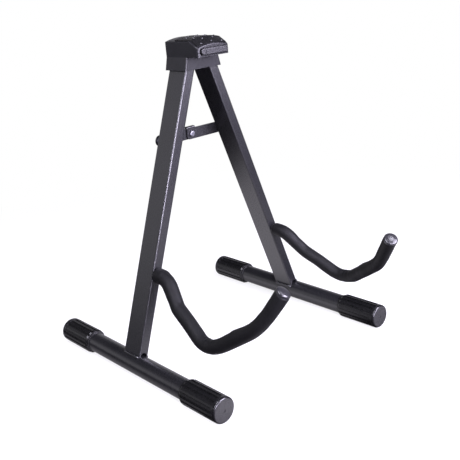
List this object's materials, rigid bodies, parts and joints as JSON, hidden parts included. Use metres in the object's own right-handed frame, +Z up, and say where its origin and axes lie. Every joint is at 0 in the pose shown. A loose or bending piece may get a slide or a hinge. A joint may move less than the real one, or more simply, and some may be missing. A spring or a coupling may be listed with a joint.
{
  "type": "folding guitar stand",
  "caption": "Black folding A-frame floor stand for a guitar: steel tube legs hinged in a plastic head, foam-covered cradle arms, ribbed foot caps and a folding brace.",
  "frame": {"origin": "on the floor, at the middle of the open stand's box", "axes": "+Z up; -Y is the front, where the guitar sits; +X to the right seen from the front"},
  "size_m": [0.3182, 0.3756, 0.3987],
  "materials": {
    "frame_steel": "black powder coat, semi-gloss",
    "fastener_steel": "blackened steel",
    "head_plastic": "black ABS, satin",
    "grip_rubber": "black textured rubber",
    "bumper_rubber": "dark grey rubber, satin",
    "arm_foam": "black closed-cell foam, matte",
    "tip_plastic": "black, glossy",
    "cap_plastic": "black soft plastic, semi-gloss"
  },
  "bodies": {
    "head": {"head_cover": "head_plastic", "head_back_plate": "head_plastic", "top_grip": "grip_rubber", "front_bumper": "bumper_rubber", "head_screws": "fastener_steel", "left_hinge_pin": "fastener_steel", "right_hinge_pin": "fastener_steel"},
    "left_leg": {"left_leg_tube": "frame_steel", "left_hinge_bush": "fastener_steel", "left_foot_bar": "frame_steel", "left_foot_weld": "frame_steel", "left_arm_rod": "frame_steel", "left_arm_weld": "frame_steel", "left_arm_foam": "arm_foam", "left_arm_tip": "tip_plastic", "left_front_foot_cap": "cap_plastic", "left_rear_foot_cap": "cap_plastic", "left_brace_rivet": "fastener_steel", "left_brace_spacer": "fastener_steel"},
    "right_leg": {"right_leg_tube": "frame_steel", "right_hinge_bush": "fastener_steel", "right_foot_bar": "frame_steel", "right_foot_weld": "frame_steel", "right_arm_rod": "frame_steel", "right_arm_weld": "frame_steel", "right_arm_foam": "arm_foam", "right_arm_tip": "tip_plastic", "right_front_foot_cap": "cap_plastic", "right_rear_foot_cap": "cap_plastic", "right_brace_rivet_tail": "fastener_steel"},
    "left_link": {"left_brace_link": "frame_steel", "brace_centre_rivet": "fastener_steel"},
    "right_link": {"right_brace_link": "frame_steel", "right_brace_rivet_head": "fastener_steel"}
  },
  "joints": [
    {"name": "left_leg_fold", "type": "hinge", "parent": "head", "child": "left_leg", "pos_m": [-0.013, 0.03893, 0.37661], "axis": [0, -1, 0], "range_deg": [0, 19.3]},
    {"name": "right_leg_fold", "type": "hinge", "parent": "head", "child": "right_leg", "pos_m": [0.013, 0.03893, 0.37661], "axis": [0, 1, 0], "range_deg": [0, 19.3]},
    {"name": "left_link_fold", "type": "hinge", "parent": "left_leg", "child": "left_link", "pos_m": [-0.04876, 0.03893, 0.27757], "axis": [0, -1, 0], "range_deg": [0, 54.1]},
    {"name": "right_link_fold", "type": "hinge", "parent": "left_link", "child": "right_link", "pos_m": [0, 0.03893, 0.27757], "axis": [0, 1, 0], "range_deg": [0, 146.7]}
  ],
  "couplings": [
    {"joint": "right_leg_fold", "follows": "left_leg_fold", "ratio": 1},
    {"joint": "left_link_fold", "follows": "left_leg_fold", "ratio": 2.798},
    {"joint": "right_link_fold", "follows": "left_leg_fold", "ratio": 7.596}
  ]
}
